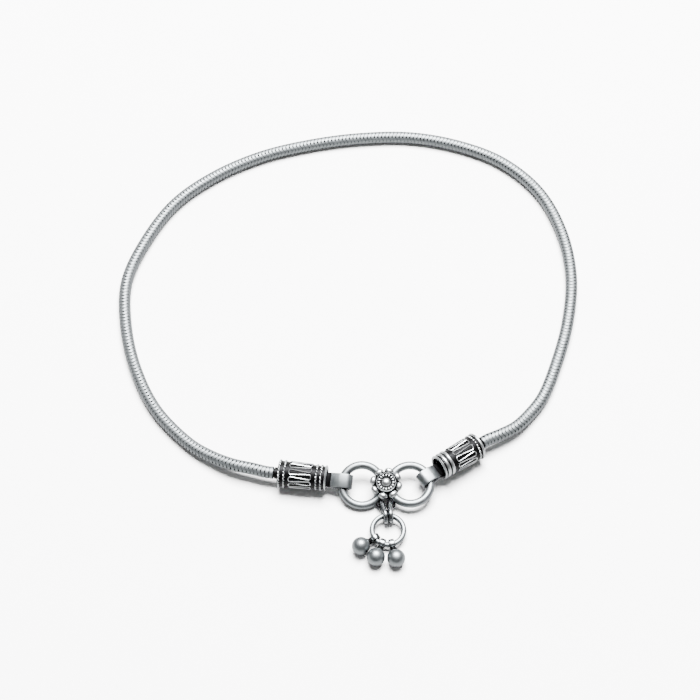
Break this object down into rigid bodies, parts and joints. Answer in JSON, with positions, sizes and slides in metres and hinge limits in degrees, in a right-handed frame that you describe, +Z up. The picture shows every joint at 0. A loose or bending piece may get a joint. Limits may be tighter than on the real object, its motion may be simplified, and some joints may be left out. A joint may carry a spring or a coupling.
{
  "type": "payal anklet",
  "caption": "Silver payal anklet: a round snake chain between blackened end caps, with a ring link, a flower boss and plain ball drops on a jump ring.",
  "frame": {"origin": "on the surface it lies on, below the middle of its bounding box", "axes": "+Z up from the surface; -Y towards the flower and its drops, +Y along the loop's length to the far side of the chain; +X to the right as seen from the drops"},
  "size_m": [0.0882, 0.0964, 0.0058],
  "materials": {
    "satin_silver": "satin sterling silver",
    "polished_silver": "polished sterling silver",
    "blackened_silver": "oxidised silver with bright relief"
  },
  "bodies": {
    "root": {"snake_chain": "satin_silver", "end_cap_left": "blackened_silver", "end_cap_right": "blackened_silver", "strap_left": "satin_silver", "strap_right": "satin_silver", "flower_link": "satin_silver", "bail": "polished_silver", "drop_ring": "polished_silver", "ball_drop_1": "satin_silver", "ball_drop_2": "satin_silver", "ball_drop_3": "satin_silver"}
  },
  "joints": []
}
